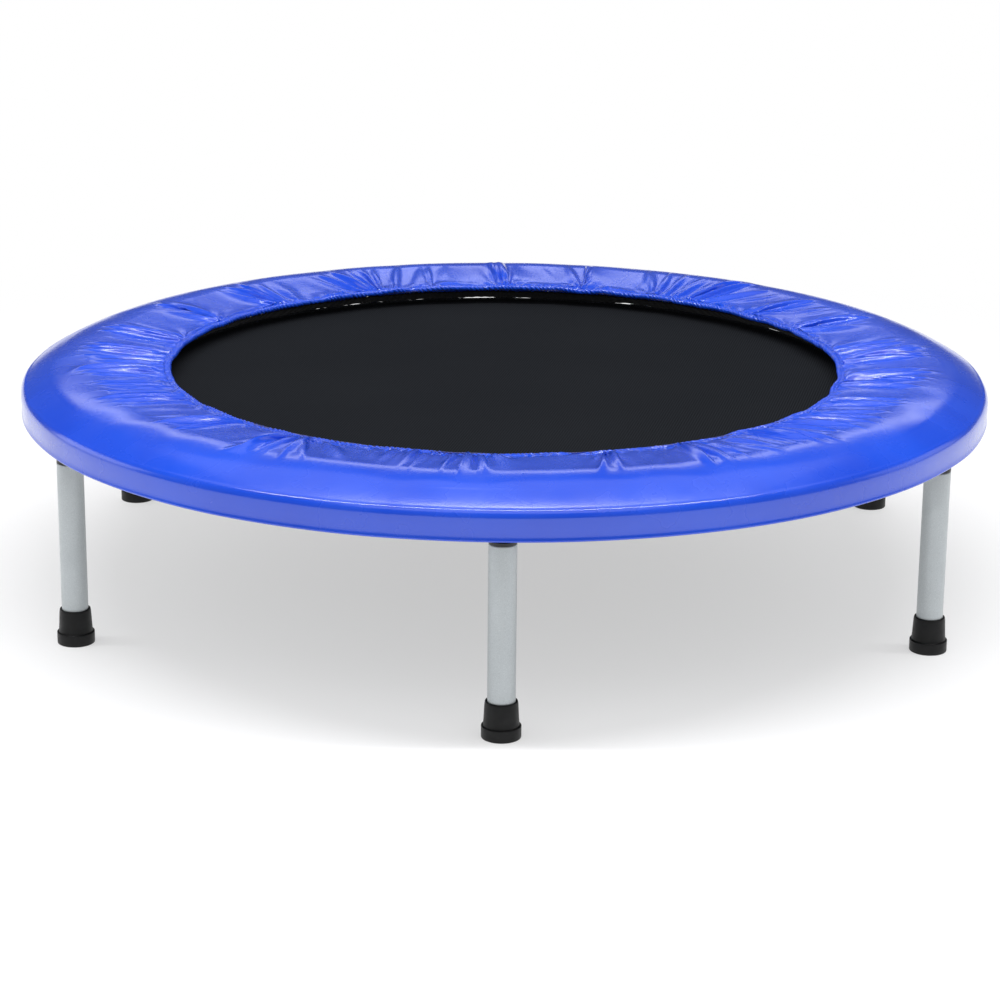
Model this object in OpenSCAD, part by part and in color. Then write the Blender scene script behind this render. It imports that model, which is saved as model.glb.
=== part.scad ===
// Round mini trampoline: a sprung mat in a tube ring, under a round safety pad, on six screw-in legs.
// Millimetres, +Z up, origin on the floor under the centre of the mat. The front leg stands at -Y.

/* [Overall] */
// Outer diameter, over the safety pad
overall_d = 965; // [860:1:1160]
// Height from the floor to the top of the pad
overall_h = 229; // [190:1:300]

/* [Frame] */
// Outer diameter of the ring tube
tube_d = 25; // [20:0.5:30]
// Wall of the ring tube and of the legs
tube_t = 1.5; // [1:0.1:2]
// Length of the swaged end that goes into the next arc
swage_l = 25; // [15:1:32]
// Shank diameter of the screw through each arc joint
joint_screw_d = 4; // [3:0.5:5]

/* [Legs] */
// Outer diameter of the leg tube
leg_d = 25; // [20:0.5:30]
// Diameter of the threaded stud on the leg
stud_d = 10; // [8:1:12]
// Thickness of the washer between the leg and the frame
washer_t = 2.8; // [1.5:0.1:4]
// Diameter of the foot's bottom flange
foot_d = 35.5; // [31.5:0.5:50]
// Height of the foot's bottom flange
foot_flange_h = 11.5; // [6:0.5:16]
// Height of the whole foot
foot_h = 34; // [24:1:50]
// Rubber under the end of the leg tube
foot_floor = 6; // [3:0.5:10]

/* [Springs] */
// Number of springs round the ring
spring_count = 30; // [24:6:36]
// Distance from the spring's loop to its hook
spring_l = 70; // [60:0.1:105]
// Outer diameter of the coil
coil_d = 14; // [10:0.5:17]
// Wire diameter of the spring
spring_wire = 2.2; // [1.6:0.1:2.8]

/* [Mat] */
// Thickness of the mat fabric
mat_t = 1.6; // [0.8:0.1:3]
// Height of the mat's top above the middle of the frame tube
mat_rise = 1.5; // [1:0.1:3]
// Width of the webbing band under the mat's edge
band_w = 28; // [20:1:50]
// Width of each webbing loop
loop_w = 16; // [10:0.5:20]
// Thickness of the webbing
webbing_t = 1.5; // [1:0.1:2]
// Wire diameter of the V-rings
ring_wire = 3; // [2:0.1:3]
// Length of a V-ring, from its bar to its tip
ring_l = 15.5; // [13:0.5:25]

/* [Pad] */
// Height of the pad's top above the frame tube
pad_t = 16.5; // [13:0.5:24]
// Radius of the pad's outer edge
edge_round = 10; // [8:0.5:11]
// Distance from the pad's outer edge in to its highest line
crown_in = 66; // [60:0.5:68]
// Thickness of the pad's cover
cover_t = 1.2; // [0.8:0.1:1.5]
// Distance from the mat's edge in to the pad's inner edge
pad_overlap = 35.3; // [4:0.1:38]
// Diameter of the gathered casing at the pad's inner edge
casing_d = 5.4; // [5:0.1:8]
// Height of the casing above the underside of the foam
casing_rise = 3; // [1:0.1:4]
// Distance from the frame tube's middle down to the pad's lower edge
skirt_drop = 18; // [14:0.5:19]
// Diameter of the rolled hem
hem_d = 3.2; // [2.4:0.1:3.2]

/* [Hidden] */
$fn = 48;
arc_count = 3;
legs_per_arc = 2;
leg_count = arc_count * legs_per_arc;
arc_span = 360 / arc_count;
first_joint = 240;           // angle where the first arc starts; the front leg is then at 270
spring_pitch = 360 / spring_count;

// Clearances
slip_fit = 0.2;              // swaged end in the next arc, shank in its hole
weld_fit = 0.05;             // socket in the frame tube, leg in its foot
thread_fit = 0.1;            // stud in its socket, on the radius
face_gap = 0.1;              // washer to leg and to socket
skirt_gap = 0.8;             // frame tube to skirt
pad_gap = 0.3;               // frame tube to pad
soft_fit = 0.2;              // foam and elastic inside the cover
wire_gap = 0.3;              // spring to V-ring, webbing to V-ring
tip_gap = 0.2;               // tip of a spring's hook to the tube's inner wall
loop_slack = 0.5;            // extra on the radius of a spring's loop
ring_side_gap = 1.2;         // webbing loop to the sides of its V-ring
mat_edge_gap = 1.2;          // edge of the mat to the webbing round a V-ring
cut = 1;                     // how far a cutting shape stands out past what it cuts

tube_r = tube_d / 2;
bore_r = tube_r - tube_t;
frame_r = overall_d / 2 - cover_t - skirt_gap - tube_r;
frame_z = overall_h - pad_t - tube_r;
swage_r = bore_r - slip_fit;
swage_angle = swage_l / frame_r * 180 / PI;
shoulder_angle = 2 / frame_r * 180 / PI;
joint_screw_angle = swage_angle / 2;
joint_head_d = joint_screw_d * 2.2;
joint_head_h = 2.5;
joint_thread_l = 3;          // past both walls of the tube
hole_reach = 2;              // how far a spring's hole starts outside the tube

// Sockets, studs and legs
socket_wall = 3;
socket_lip = 2;
socket_d = stud_d + 2 * socket_wall;
socket_flange_d = socket_d + 2 * socket_lip;
socket_flange_h = 3;
socket_reach = 6.5;          // how far the socket stands out below the tube
socket_bottom = frame_z - tube_r - socket_reach;
socket_top_gap = 0.9;        // top of a socket to the spring's wire over it
socket_top = frame_z - spring_wire / 2 - socket_top_gap;
leg_top = socket_bottom - washer_t - 2 * face_gap;
stud_top = socket_top;
leg_plate_t = 3;

// Foot
foot_top_wall = 2;
foot_collar_wall = 3.5;
foot_top_d = leg_d + 2 * foot_top_wall;
foot_collar_d = leg_d + 2 * foot_collar_wall;
foot_edge = 1;

// Springs and V-rings, as distances from the centre
tip_rise = 5.5;              // height of the spring's hook inside the tube
hook_bend = 3;
hook_neck = 19.8;            // from the hook to the coil
loop_neck = 13.5;            // from the loop's middle to the coil
wire_r = spring_wire / 2;
hook_x = ceil(10 * (frame_r - sqrt(bore_r * bore_r - tip_rise * tip_rise) + wire_r + tip_gap)) / 10;
hook_hole_r = 3.5;
loop_x = hook_x - spring_l;
loop_r = ring_wire / 2 + wire_r + wire_gap + loop_slack;
coil_in = loop_x + loop_neck;
coil_out = hook_x - hook_neck;
ring_tip_x = loop_x - loop_r + wire_r + wire_gap + ring_wire / 2;
ring_bar_x = ring_tip_x - ring_l;
ring_half_w = loop_w / 2 + ring_wire + ring_side_gap;   // middle of the bar to the sides
ring_tip_half_w = 3.5;
ring_side_wire = ring_wire - 0.4;   // the sides are drawn thinner than the bar and the tip

// Mat
mat_r = ring_bar_x - ring_wire / 2 - wire_gap - webbing_t - mat_edge_gap;
mat_top = frame_z + mat_rise;
mat_bottom = mat_top - mat_t;
band_bottom = mat_bottom - webbing_t;
loop_tail = 30;              // stitched length of a webbing loop under the mat

// Pad
casing_r = mat_r - pad_overlap + casing_d / 2;
pad_bottom = frame_z + tube_r + pad_gap;
casing_z = pad_bottom + casing_rise + casing_d / 2;
crown_r = overall_d / 2 - crown_in;
edge_lean = 33;              // slope of the pad's top where its outer edge turns down
edge_r = overall_d / 2 - edge_round;
dome_r = (edge_r + edge_round * sin(edge_lean) - crown_r) / sin(edge_lean);
dome_z = overall_h - dome_r;
edge_z = dome_z + (dome_r - edge_round) * cos(edge_lean);
hem_z = frame_z - skirt_drop;
flap_l = 24;                 // underside of the cover, from the casing out over the mat's edge
flap_z = mat_top + 1.5;      // its free edge hangs this high

function arc_start(k) = first_joint + (k - 1) * arc_span;
function leg_angle(i) = first_joint + (i - 0.5) * 360 / leg_count;
function spring_angle(i) = first_joint + (i - 0.5) * spring_pitch;

module at_angle(a) rotate([0, 0, a]) children();
module at_leg(i) at_angle(leg_angle(i)) translate([frame_r, 0, 0]) children();

// ---- Frame ----

// A stretch of ring tube between two radii of its section, from angle a over angle span
module ring_tube(a, span, outer_r, inner_r)
    at_angle(a) rotate_extrude(angle = span, $fn = 180) translate([frame_r, frame_z])
        difference() {
            circle(outer_r);
            circle(inner_r);
        }

// Threaded socket for a leg, with the flange that is welded to the tube
module leg_socket() translate([frame_r, 0, socket_bottom]) difference() {
    union() {
        cylinder(d = socket_d, h = socket_top - socket_bottom);
        cylinder(d = socket_flange_d, h = socket_flange_h);
    }
    translate([0, 0, -cut])
        cylinder(r = stud_d / 2 + thread_fit, h = socket_top - socket_bottom + 2 * cut);
}

// One third of the ring, with its swaged end, its spring holes and its two leg sockets
module frame_arc(k) color("silver") {
    start = arc_start(k);
    difference() {
        union() {
            ring_tube(start, arc_span, tube_r, bore_r);
            ring_tube(start + arc_span - 2 * shoulder_angle, swage_angle + 2 * shoulder_angle,
                      swage_r, swage_r - tube_t);
            ring_tube(start + arc_span - 1.5 * shoulder_angle, shoulder_angle,
                      bore_r + slip_fit, swage_r - slip_fit);
        }
        for (j = [1:spring_count / arc_count])
            at_angle(start + (j - 0.5) * spring_pitch)
                translate([frame_r - tube_r - hole_reach, 0, frame_z]) rotate([0, 90, 0])
                    cylinder(r = hook_hole_r, h = tube_r);
        for (j = [1:legs_per_arc])
            at_angle(start + (j - 0.5) * arc_span / legs_per_arc)
                translate([frame_r, 0, frame_z - tube_r - cut])
                    cylinder(d = socket_d + 2 * weld_fit, h = tube_r);
        for (a = [start, start + arc_span])
            at_angle(a + joint_screw_angle)
                translate([frame_r, 0, frame_z - tube_r - cut])
                    cylinder(d = joint_screw_d + slip_fit, h = tube_r);
    }
    for (j = [1:legs_per_arc]) at_angle(start + (j - 0.5) * arc_span / legs_per_arc) leg_socket();
}

// A screw up through each joint of the ring
module frame_joint_screws() color("dimgray")
    for (k = [1:arc_count]) at_angle(arc_start(k) + joint_screw_angle)
        translate([frame_r, 0, frame_z - tube_r - face_gap]) {
            translate([0, 0, -joint_head_h]) cylinder(d = joint_head_d, h = joint_head_h);
            cylinder(d = joint_screw_d, h = tube_t * 2 + slip_fit + joint_thread_l);
        }

// ---- Legs ----

// Leg tube with its top plate and stud, one weldment
module leg(i) color("lightgray") at_leg(i) {
    difference() {
        translate([0, 0, foot_floor]) cylinder(d = leg_d, h = leg_top - foot_floor);
        translate([0, 0, foot_floor - cut])
            cylinder(d = leg_d - 2 * tube_t, h = leg_top - foot_floor - leg_plate_t + cut);
    }
    translate([0, 0, leg_top - leg_plate_t / 2])
        cylinder(d = stud_d, h = stud_top - leg_top + leg_plate_t / 2);
}

module leg_washer(i) color("black") at_leg(i) translate([0, 0, leg_top + face_gap])
    difference() {
        cylinder(d = leg_d, h = washer_t);
        translate([0, 0, -cut]) cylinder(r = stud_d / 2 + 3 * thread_fit, h = washer_t + 2 * cut);
    }

// Two-step rubber foot pushed over the end of the leg
module foot(i) color("black") at_leg(i) rotate_extrude()
    polygon([[0, 0], [foot_d / 2 - foot_edge, 0], [foot_d / 2, foot_edge],
             [foot_d / 2, foot_flange_h - foot_edge], [foot_d / 2 - foot_edge, foot_flange_h],
             [foot_collar_d / 2, foot_flange_h], [foot_top_d / 2, foot_h - foot_edge],
             [foot_top_d / 2 - foot_edge / 2, foot_h], [leg_d / 2 + weld_fit, foot_h],
             [leg_d / 2 + weld_fit, foot_floor], [0, foot_floor]]);

// ---- Springs ----

// Extension spring: a close coil, a loop over the V-ring and a hook into the frame tube
module spring(i) color("gainsboro") at_angle(spring_angle(i)) translate([0, 0, frame_z]) {
    difference() {
        translate([coil_in, 0, 0]) rotate([0, 90, 0]) cylinder(d = coil_d, h = coil_out - coil_in);
        translate([coil_in - cut, 0, 0]) rotate([0, 90, 0])
            cylinder(r = coil_d / 2 - spring_wire, h = coil_out - coil_in + 2 * cut);
    }
    for (x = [coil_in + spring_wire, coil_out - spring_wire])
        translate([x, 0, 1 - coil_d / 2]) cylinder(r = wire_r, h = coil_d - 2);
    translate([loop_x + loop_r - wire_r / 2, 0, 0]) rotate([0, 90, 0])
        cylinder(r = wire_r, h = coil_in + spring_wire - loop_x - loop_r + wire_r / 2);
    translate([coil_out - spring_wire, 0, 0]) rotate([0, 90, 0])
        cylinder(r = wire_r, h = hook_x - hook_bend - coil_out + spring_wire);
    translate([loop_x, 0, 0]) rotate([90, 0, 0])
        rotate_extrude(angle = 300) translate([loop_r, 0]) circle(wire_r);
    translate([hook_x - hook_bend, 0, hook_bend]) rotate([90, 90, 0])
        rotate_extrude(angle = 90) translate([hook_bend, 0]) circle(wire_r);
    translate([hook_x, 0, hook_bend]) cylinder(r = wire_r, h = tip_rise - hook_bend);
}

// ---- Mat ----

module mat() color("#1c1e21") translate([0, 0, mat_bottom]) cylinder(r = mat_r, h = mat_t, $fn = 180);

// Webbing sewn under the mat's edge
module mat_band() color("#101214") translate([0, 0, band_bottom]) difference() {
    cylinder(r = mat_r, h = webbing_t, $fn = 180);
    translate([0, 0, -cut]) cylinder(r = mat_r - band_w, h = webbing_t + 2 * cut, $fn = 180);
}

// Webbing loops that hold the V-rings
module mat_loops() color("#101214")
    for (i = [1:spring_count]) at_angle(spring_angle(i)) difference() {
        union() {
            translate([mat_r - loop_tail, -loop_w / 2, band_bottom - webbing_t])
                cube([ring_bar_x - mat_r + loop_tail, loop_w, webbing_t]);
            translate([ring_bar_x, loop_w / 2, frame_z]) rotate([90, 0, 0])
                cylinder(r = ring_wire / 2 + wire_gap + webbing_t, h = loop_w);
        }
        translate([ring_bar_x, loop_w / 2 + cut, frame_z]) rotate([90, 0, 0])
            cylinder(r = ring_wire / 2 + wire_gap, h = loop_w + 2 * cut);
    }

// Wire rings: a bar in the webbing and a short tip in the spring's loop, joined by two sides
module v_rings() color("silver")
    for (i = [1:spring_count]) at_angle(spring_angle(i)) translate([0, 0, frame_z]) {
        for (across = [[ring_bar_x, ring_half_w], [ring_tip_x, ring_tip_half_w]])
            translate([across[0], across[1] + ring_wire / 2, 0]) rotate([90, 0, 0])
                cylinder(d = ring_wire, h = 2 * across[1] + ring_wire);
        for (side = [-1, 1]) {
            run = [ring_tip_x - ring_bar_x, side * (ring_tip_half_w - ring_half_w)];
            translate([ring_bar_x, side * ring_half_w, 0])
                rotate([0, 0, atan2(run[1], run[0])]) rotate([0, 90, 0])
                    cylinder(d = ring_side_wire, h = norm(run));
        }
    }

// ---- Pad ----

// Points of an arc, from angle a to angle b
function arc_points(centre, r, a, b, n = 16) =
    [for (i = [0:n]) centre + r * [cos(a + (b - a) * i / n), sin(a + (b - a) * i / n)]];

// Top sheet, falling from its highest line to the rounded outer edge, and the inner edge turned under
// round the elastic, as one half section: out along its outside from the flap, and back along its inside
module pad_cover() color("royalblue") rotate_extrude($fn = 180) {
    casing = [casing_r, casing_z];
    dome = [crown_r, dome_z];
    edge = [edge_r, edge_z];
    polygon(concat(
        [[casing_r + flap_l, flap_z]],
        arc_points(casing, casing_d / 2, 270, 90),
        arc_points(dome, dome_r, 90, 90 - edge_lean),
        arc_points(edge, edge_round, 90 - edge_lean - 5, 0),
        arc_points(edge, edge_round - cover_t, 0, 90 - edge_lean - 5),
        arc_points(dome, dome_r - cover_t, 90 - edge_lean, 90),
        arc_points(casing, casing_d / 2 - cover_t, 90, 270),
        [[casing_r + flap_l, flap_z + cover_t]]));
}

// Skirt sewn to the edge of the top sheet, with its rolled hem
module pad_skirt() color("royalblue") rotate_extrude($fn = 180) {
    hem = [overall_d / 2 - hem_d / 2, hem_z + hem_d / 2];
    hem_end = acos(1 - 2 * cover_t / hem_d) - 360;
    polygon(concat(
        [[overall_d / 2, edge_z]],
        arc_points(hem, hem_d / 2, 0, hem_end),
        [[overall_d / 2 - cover_t, edge_z]]));
}

// Foam ring, flat below where it lies on the tube, bevelled outside and cut back over the flap
module pad_foam() color("whitesmoke") rotate_extrude($fn = 180) {
    foam_r = dome_r - cover_t - soft_fit;
    inner_r = casing_r + casing_d / 2 + soft_fit;
    casing_top = casing_z + casing_d / 2;
    slope = (overall_h - casing_top) / (crown_r - casing_r);
    inner_top = casing_top + slope * (inner_r - casing_r) - cover_t - soft_fit;
    flap_top = casing_z - casing_d / 2 + cover_t + 2 * soft_fit;
    flap_fall = (flap_top - flap_z - cover_t - 2 * soft_fit) / flap_l;
    polygon(concat(
        [[casing_r + (flap_top - pad_bottom) / flap_fall, pad_bottom]],
        arc_points([crown_r, dome_z], foam_r, asin((pad_bottom - dome_z) / foam_r), 90),
        [[inner_r, inner_top], [inner_r, flap_top - flap_fall * (inner_r - casing_r)]]));
}

module pad_elastic() color("navy") rotate_extrude($fn = 180)
    translate([casing_r, casing_z]) circle(d = casing_d - 2 * cover_t - 2 * soft_fit);

for (k = [1:arc_count]) frame_arc(k);
frame_joint_screws();
for (i = [1:leg_count]) leg(i);
for (i = [1:leg_count]) leg_washer(i);
for (i = [1:leg_count]) foot(i);
for (i = [1:spring_count]) spring(i);
mat();
mat_band();
mat_loops();
v_rings();
pad_cover();
pad_skirt();
pad_foam();
pad_elastic();
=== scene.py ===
# Round mini trampoline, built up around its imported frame. Metres, +Z up, front leg at -Y.
import math

import bpy
import numpy as np
from mathutils import Matrix, Vector


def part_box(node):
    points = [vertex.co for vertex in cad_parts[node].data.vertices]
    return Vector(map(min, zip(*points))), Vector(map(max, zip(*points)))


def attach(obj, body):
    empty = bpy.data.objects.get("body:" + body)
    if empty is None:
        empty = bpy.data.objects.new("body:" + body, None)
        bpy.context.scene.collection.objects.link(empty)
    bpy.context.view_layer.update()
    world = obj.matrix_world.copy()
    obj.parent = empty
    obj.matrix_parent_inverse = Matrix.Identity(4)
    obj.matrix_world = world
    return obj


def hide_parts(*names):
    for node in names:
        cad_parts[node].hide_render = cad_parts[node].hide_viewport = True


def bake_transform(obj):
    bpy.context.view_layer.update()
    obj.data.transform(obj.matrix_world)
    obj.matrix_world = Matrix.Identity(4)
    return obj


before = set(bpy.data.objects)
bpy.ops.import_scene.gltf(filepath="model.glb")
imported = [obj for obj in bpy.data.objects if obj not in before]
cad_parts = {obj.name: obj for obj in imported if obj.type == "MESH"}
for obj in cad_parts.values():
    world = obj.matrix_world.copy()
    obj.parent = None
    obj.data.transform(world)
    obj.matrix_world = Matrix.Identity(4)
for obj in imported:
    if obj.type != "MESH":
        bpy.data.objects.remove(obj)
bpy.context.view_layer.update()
bpy.ops.object.select_all(action="DESELECT")
print("frame loaded:", len(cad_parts), "nodes")

fullTurn = 2 * math.pi
legCount = 6
springCount = 30


# camera and light

cameraSetup = {
    "lens": 103.2,  # mm, on a 36 mm sensor
    "place": (0.0, -2.805, 0.928),
    "pitch": 16.94,  # degrees below the horizon
    "yaw": 0.07,
    "roll": 0.53,
}


def makeCamera(setup):
    bpy.ops.object.camera_add(location=setup["place"])
    camera = bpy.context.object
    camera.name = "studioCamera"
    camera.data.lens = setup["lens"]
    camera.data.sensor_width = 36
    turn = (
        Matrix.Rotation(math.radians(setup["yaw"]), 3, "Z")
        @ Matrix.Rotation(math.radians(90 - setup["pitch"]), 3, "X")
        @ Matrix.Rotation(math.radians(setup["roll"]), 3, "Z")
    )
    camera.rotation_euler = turn.to_euler()
    camera.data.clip_end = 50
    bpy.context.scene.camera = camera


lightSetup = {
    # name: (place, looks at, width, height, power in watts)
    "overheadStrip": ((0.0, -0.3, 2.3), (0, -0.3, 0.2), 3.0, 0.12, 46),
    "frontTop": ((0.0, -1.6, 2.3), (0, -0.2, 0.2), 2.6, 1.0, 8),
    "topSoftbox": ((0.0, 0.9, 2.4), (0, 0.1, 0.2), 2.8, 1.6, 6),
    "rearStrip": ((0.0, 2.9, 1.45), (0, 0, 0.25), 3.0, 0.3, 4),
    "leftSoftbox": ((-2.6, 0.5, 0.8), (0, 0, 0.2), 1.6, 1.0, 6),
    "rightSoftbox": ((2.6, 0.5, 0.8), (0, 0, 0.2), 1.6, 1.0, 3),
}


def makeLights(setup):
    for name, (place, target, width, height, power) in setup.items():
        bpy.ops.object.light_add(type="AREA", location=place)
        light = bpy.context.object
        light.name = name
        light.data.shape = "RECTANGLE"
        light.data.size, light.data.size_y = width, height
        light.data.energy = power
        light.rotation_euler = (Vector(target) - Vector(place)).to_track_quat("-Z", "Y").to_euler()


makeCamera(cameraSetup)
makeLights(lightSetup)
print("camera and lights placed")


# materials

def fromHex(code):
    # sRGB hex to a linear colour
    parts = [int(code[i:i + 2], 16) / 255 for i in (1, 3, 5)]
    return tuple(p / 12.92 if p <= 0.04045 else ((p + 0.055) / 1.055) ** 2.4 for p in parts) + (1,)


def perMm(size):
    # pattern scale in repeats a metre, for a size in millimetres
    return 1000 / size


def addNode(tree, kind, inputs=None, **settings):
    node = tree.nodes.new(kind)
    for name, value in settings.items():
        setattr(node, name, value)
    for name, value in (inputs or {}).items():
        if isinstance(value, bpy.types.NodeSocket):
            tree.links.new(value, node.inputs[name])
        else:
            node.inputs[name].default_value = value
    return node


def newMaterial(name, **surface):
    # surface: constants for the shader's own sockets, with _ for a space
    material = bpy.data.materials.new(name)
    material.use_nodes = True
    tree = material.node_tree
    tree.nodes.clear()
    shader = addNode(tree, "ShaderNodeBsdfPrincipled", {k.replace("_", " "): v for k, v in surface.items()})
    addNode(tree, "ShaderNodeOutputMaterial", {"Surface": shader.outputs[0]})
    place = addNode(tree, "ShaderNodeTexCoord").outputs["Object"]
    return material, tree, shader, place


def noise(tree, place, sizeMm, detail=3.0, rough=0.5):
    return addNode(tree, "ShaderNodeTexNoise",
                   {"Vector": place, "Scale": perMm(sizeMm), "Detail": detail, "Roughness": rough}).outputs["Fac"]


def spread(tree, value, low, high, fromLow=0.3, fromHigh=0.7):
    return addNode(tree, "ShaderNodeMapRange", {
        "Value": value, "From Min": fromLow, "From Max": fromHigh, "To Min": low, "To Max": high}).outputs[0]


def colourMix(tree, factor, first, second):
    node = addNode(tree, "ShaderNodeMix", data_type="RGBA")
    tree.links.new(factor, node.inputs[0])
    for socket, value in ((node.inputs[6], first), (node.inputs[7], second)):
        if isinstance(value, bpy.types.NodeSocket):
            tree.links.new(value, socket)
        else:
            socket.default_value = value
    return node.outputs[2]


def bump(tree, height, distanceMm, strength=1.0, normal=None):
    inputs = {"Height": height, "Distance": distanceMm / 1000, "Strength": strength}
    if normal is not None:
        inputs["Normal"] = normal
    return addNode(tree, "ShaderNodeBump", inputs).outputs[0]


def calculate(tree, operation, a, b=0.0):
    node = addNode(tree, "ShaderNodeMath", operation=operation)
    for socket, value in zip(node.inputs, (a, b)):
        if isinstance(value, bpy.types.NodeSocket):
            tree.links.new(value, socket)
        else:
            socket.default_value = value
    return node.outputs[0]


def makePadVinyl():
    # plasticised PVC coated on a thin knit: a wet-looking gloss, crisp small creases where it is gathered
    material, tree, shader, place = newMaterial(
        "padVinyl", IOR=1.54, Specular_IOR_Level=0.6, Coat_Weight=0.8, Coat_Roughness=0.16)
    tone = spread(tree, noise(tree, place, 110, 2), 0, 1)
    tree.links.new(colourMix(tree, tone, fromHex("#0442CE"), fromHex("#084CDC")), shader.inputs["Base Color"])
    tree.links.new(spread(tree, noise(tree, place, 45, 3), 0.2, 0.32), shader.inputs["Roughness"])
    sewn = addNode(tree, "ShaderNodeAttribute", attribute_name="sewn").outputs["Vector"]
    gathered = addNode(tree, "ShaderNodeAttribute", attribute_name="gathered").outputs["Fac"]
    # long creases run away from the elastic: 5 mm across and 50 mm along
    streaks = addNode(tree, "ShaderNodeMapping", {"Vector": sewn, "Scale": (1, 1, 0.1)}).outputs[0]
    creases = calculate(tree, "ABSOLUTE", calculate(tree, "SUBTRACT", noise(tree, streaks, 5, 4, 0.6), 0.5))
    creases = calculate(tree, "MULTIPLY", creases, gathered)
    grain = noise(tree, place, 1.4, 2)
    rumples = noise(tree, place, 16, 3, 0.55)
    normal = bump(tree, rumples, 0.8, 0.25)
    normal = bump(tree, creases, 2.4, 1.0, normal)
    normal = bump(tree, grain, 0.02, 0.6, normal)
    tree.links.new(normal, shader.inputs["Normal"])
    return material


def makeMatWeave():
    # woven polypropylene sheet: flat slit tapes, with the light they catch painted into the colour as fine slanted
    # ribs (weave pattern and painted sheen), drawn at 2.5 mm, coarser than the real 1.2 mm, so that the ribs still
    # show
    material, tree, shader, place = newMaterial("matWeave", IOR=1.49, Roughness=0.8, Specular_IOR_Level=0.0)
    turned = addNode(tree, "ShaderNodeMapping", {"Vector": place, "Rotation": (0, 0, math.radians(12))}).outputs[0]
    axes = addNode(tree, "ShaderNodeSeparateXYZ", {"Vector": turned}).outputs
    across = calculate(tree, "SINE", calculate(tree, "MULTIPLY", axes[0], fullTurn * perMm(2.5)))
    along = calculate(tree, "SINE", calculate(tree, "MULTIPLY", axes[1], fullTurn * perMm(5)))
    weaveAndSheen = calculate(tree, "MULTIPLY", across, spread(tree, along, 0.55, 1.0, -1, 1))
    weaveAndSheen = calculate(tree, "MULTIPLY", weaveAndSheen, spread(tree, noise(tree, place, 9, 2), 0.4, 1.0))
    tone = spread(tree, weaveAndSheen, 0, 1, -1, 1)
    patchy = spread(tree, noise(tree, place, 160, 3), 0, 1)
    dark = colourMix(tree, patchy, fromHex("#0C0D0F"), fromHex("#111214"))
    # the lighter rib crests are painted sheen on the black tapes
    tree.links.new(colourMix(tree, tone, dark, fromHex("#26282C")), shader.inputs["Base Color"])
    tree.links.new(bump(tree, weaveAndSheen, 0.12, 0.7), shader.inputs["Normal"])
    return material


def makeWebbing():
    # black polypropylene webbing: coarse ribs across the strap, a little sheen on the yarn
    material, tree, shader, place = newMaterial("webbing", IOR=1.49, Roughness=0.62, Sheen_Weight=0.2)
    ribs = addNode(tree, "ShaderNodeTexWave", {"Vector": place, "Scale": perMm(1.6) / 3.2, "Distortion": 0.4},
                   bands_direction="DIAGONAL").outputs["Fac"]
    fuzz = noise(tree, place, 0.8, 2)
    tree.links.new(colourMix(tree, ribs, fromHex("#0C0D0F"), fromHex("#1D1F22")), shader.inputs["Base Color"])
    tree.links.new(bump(tree, fuzz, 0.15, 0.6, bump(tree, ribs, 0.3, 0.8)), shader.inputs["Normal"])
    return material


def makeLegPaint():
    # silver-grey powder coat on steel tube: satin, with a faint orange peel and metallic flake
    material, tree, shader, place = newMaterial("legPaint", Metallic=0.55, Coat_Weight=0.15, Coat_Roughness=0.25)
    peel = noise(tree, place, 1.6, 2)
    flake = spread(tree, noise(tree, place, 0.5, 1), 0, 1)
    tree.links.new(colourMix(tree, flake, fromHex("#AEB4B7"), fromHex("#C4CACC")), shader.inputs["Base Color"])
    tree.links.new(spread(tree, noise(tree, place, 14, 3), 0.34, 0.46), shader.inputs["Roughness"])
    tree.links.new(bump(tree, peel, 0.03, 0.4), shader.inputs["Normal"])
    return material


def makeFramePaint():
    # the same coat on the ring, duller and a little rubbed in random patches
    material, tree, shader, place = newMaterial("framePaint", Metallic=0.5)
    wear = spread(tree, noise(tree, place, 22, 5, 0.7), 0, 1, 0.55, 0.7)
    tree.links.new(colourMix(tree, wear, fromHex("#8F9699"), fromHex("#A9AFB1")), shader.inputs["Base Color"])
    tree.links.new(spread(tree, noise(tree, place, 6, 4), 0.38, 0.55), shader.inputs["Roughness"])
    tree.links.new(bump(tree, noise(tree, place, 1.6, 2), 0.03, 0.4), shader.inputs["Normal"])
    return material


def makeZinc():
    # bright zinc plating on drawn wire: thin cloudy greys and fine drawing lines
    material, tree, shader, place = newMaterial("zincWire", Metallic=1.0)
    cloud = spread(tree, noise(tree, place, 5, 4, 0.6), 0, 1)
    tree.links.new(colourMix(tree, cloud, fromHex("#A8ABAD"), fromHex("#D2D3D2")), shader.inputs["Base Color"])
    tree.links.new(spread(tree, noise(tree, place, 2, 3), 0.24, 0.42), shader.inputs["Roughness"])
    tree.links.new(bump(tree, noise(tree, place, 0.6, 2), 0.02, 0.5), shader.inputs["Normal"])
    return material


def makeRubber():
    # moulded black rubber: matt skin, a soft bloom and tiny pits
    material, tree, shader, place = newMaterial("footRubber", IOR=1.52, Specular_IOR_Level=0.3)
    bloom = spread(tree, noise(tree, place, 9, 4), 0, 1)
    tree.links.new(colourMix(tree, bloom, fromHex("#060708"), fromHex("#0C0D0F")), shader.inputs["Base Color"])
    tree.links.new(spread(tree, noise(tree, place, 5, 3), 0.36, 0.5), shader.inputs["Roughness"])
    tree.links.new(bump(tree, noise(tree, place, 0.7, 3), 0.05, 0.5), shader.inputs["Normal"])
    return material


def makeNylon():
    # moulded black nylon: finer and a little glossier than the rubber
    material, tree, shader, place = newMaterial("washerNylon", IOR=1.53)
    cloud = spread(tree, noise(tree, place, 4, 3), 0, 1)
    tree.links.new(colourMix(tree, cloud, fromHex("#0F1011"), fromHex("#1C1D1F")), shader.inputs["Base Color"])
    tree.links.new(spread(tree, noise(tree, place, 3, 3), 0.3, 0.45), shader.inputs["Roughness"])
    tree.links.new(bump(tree, noise(tree, place, 0.5, 2), 0.02, 0.5), shader.inputs["Normal"])
    return material


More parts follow.
